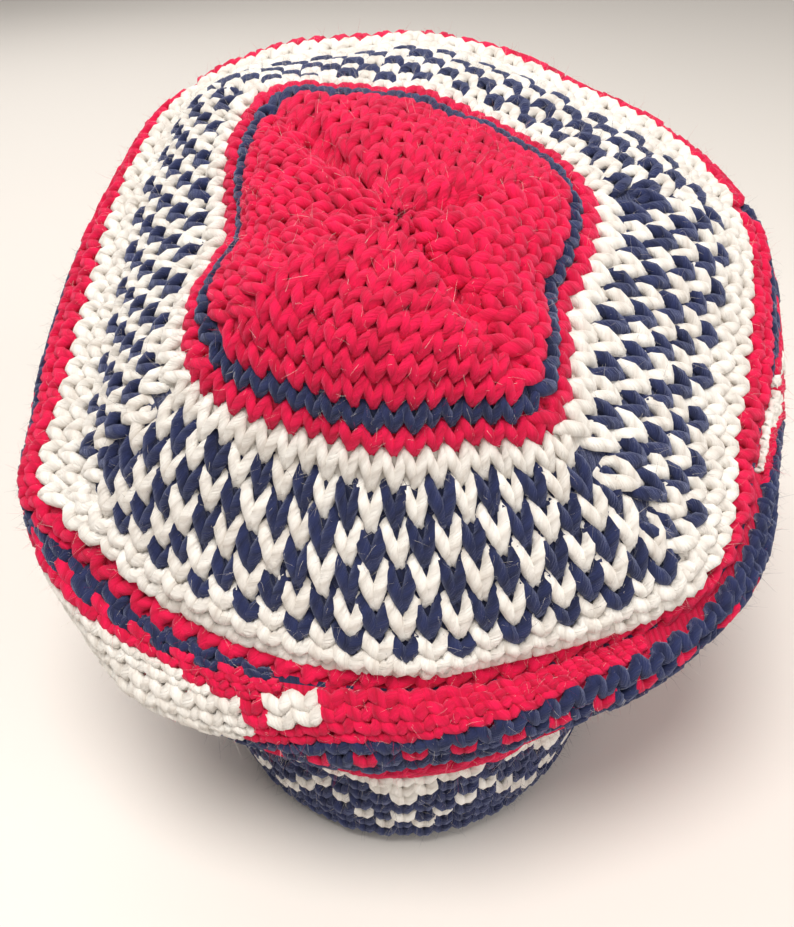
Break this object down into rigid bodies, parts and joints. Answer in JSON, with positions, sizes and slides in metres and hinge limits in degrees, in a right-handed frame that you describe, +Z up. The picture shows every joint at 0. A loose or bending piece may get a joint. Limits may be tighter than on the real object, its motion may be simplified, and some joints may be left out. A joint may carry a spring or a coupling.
{
  "type": "slouchy knit hat",
  "caption": "Slouchy wool knit hat with a square crown, a checked ring, colour stripes and a snug patterned band.",
  "frame": {"origin": "on the ground under the middle of the hat's box", "axes": "+Z up, -Y towards the hat's back, which faces the camera, +X to the picture's right"},
  "size_m": [0.2342, 0.2234, 0.1832],
  "materials": {
    "navy_wool": "matte knitted wool",
    "red_wool": "matte knitted wool",
    "white_wool": "matte knitted wool"
  },
  "bodies": {
    "root": {"band": "navy_wool", "lower_side": "red_wool", "upper_side": "navy_wool", "crown_ring": "white_wool", "crown_centre": "red_wool"}
  },
  "joints": []
}
